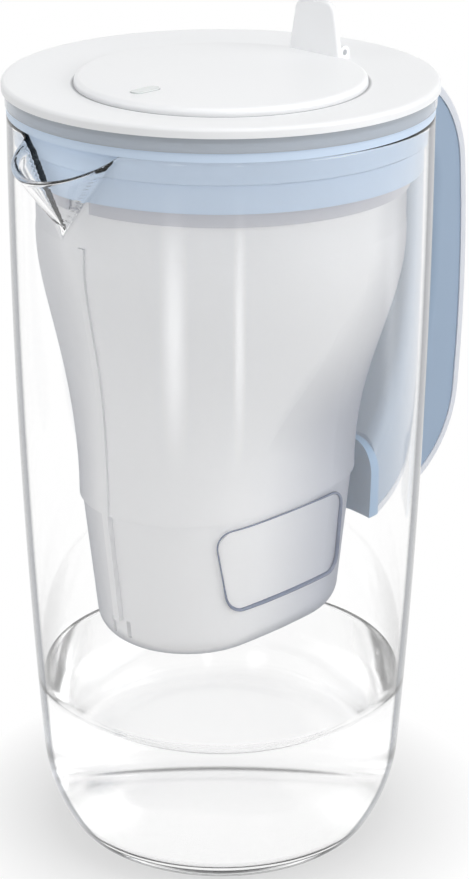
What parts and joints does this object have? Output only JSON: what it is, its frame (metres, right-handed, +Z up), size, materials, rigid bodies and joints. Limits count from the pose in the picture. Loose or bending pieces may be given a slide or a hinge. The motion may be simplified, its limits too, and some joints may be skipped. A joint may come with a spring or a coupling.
{
  "type": "water filter jug",
  "caption": "Clear glass water filter jug with a pouring spout, side handle, lift-out funnel and filter cartridge, and a lid with a hinged filling flap.",
  "frame": {"origin": "centre of the flat base, on the jug's axis, at the level it stands on", "axes": "+Z up along the jug's axis, +X towards the handle, -X towards the pouring spout, +Y completes a right-handed frame"},
  "size_m": [0.1924, 0.137, 0.2763],
  "materials": {
    "clear_glass": "polished clear glass",
    "blue_plastic": "satin moulded plastic",
    "blue_seal": "soft satin elastomer",
    "blue_pad": "soft satin elastomer",
    "pale_cover": "satin moulded plastic",
    "frosted_plastic": "clear plastic, frosted below the mouth",
    "grey_band": "satin",
    "white_shell": "satin moulded plastic",
    "grey_seal": "soft matt elastomer",
    "mesh": "fine woven mesh",
    "media": "granular",
    "white_lid": "satin gloss moulded plastic",
    "steel": "drawn",
    "board": "solder mask",
    "cell_steel": "bright",
    "contact_metal": "bright",
    "black_switch": "matt",
    "led_lens": "clear",
    "button_lens": "translucent satin"
  },
  "bodies": {
    "jug": {"glass_jug": "clear_glass", "collar_ring": "blue_plastic", "collar_seal": "blue_seal", "handle_arm": "blue_plastic", "handle_cover": "pale_cover", "handle_foot_pad": "blue_pad"},
    "funnel": {"funnel": "frosted_plastic", "funnel_band": "grey_band"},
    "cartridge": {"cartridge_shell": "white_shell", "cartridge_cap": "white_shell", "cartridge_seal": "grey_seal", "inlet_screen": "mesh", "filter_media": "media", "outlet_screen": "mesh"},
    "lid": {"lid_ring": "white_lid", "hinge_pin": "steel"},
    "flap": {"fill_flap": "white_lid", "indicator_case": "white_lid", "indicator_cover": "white_lid", "cover_seal": "grey_seal", "circuit_board": "board", "coin_cell": "cell_steel", "battery_contact": "contact_metal", "reset_switch": "black_switch", "status_led": "led_lens"},
    "button": {"reset_button": "button_lens"}
  },
  "joints": [
    {"name": "funnel_lift", "type": "slide", "parent": "jug", "child": "funnel", "axis": [0, 0, 1], "range_m": [0, 0.19]},
    {"name": "cartridge_lift", "type": "slide", "parent": "funnel", "child": "cartridge", "axis": [0, 0, 1], "range_m": [0, 0.18]},
    {"name": "lid_lift", "type": "slide", "parent": "cartridge", "child": "lid", "axis": [0, 0, 1], "range_m": [0, 0.08]},
    {"name": "flap_hinge", "type": "hinge", "parent": "lid", "child": "flap", "pos_m": [0.0487, 0, 0.2592], "axis": [0, 1, 0], "range_deg": [0, 90]},
    {"name": "button_press", "type": "slide", "parent": "flap", "child": "button", "axis": [0, 0, -1], "range_m": [0, 0.0008], "stiffness_N_per_m": 500, "springref_m": -0.0006}
  ]
}
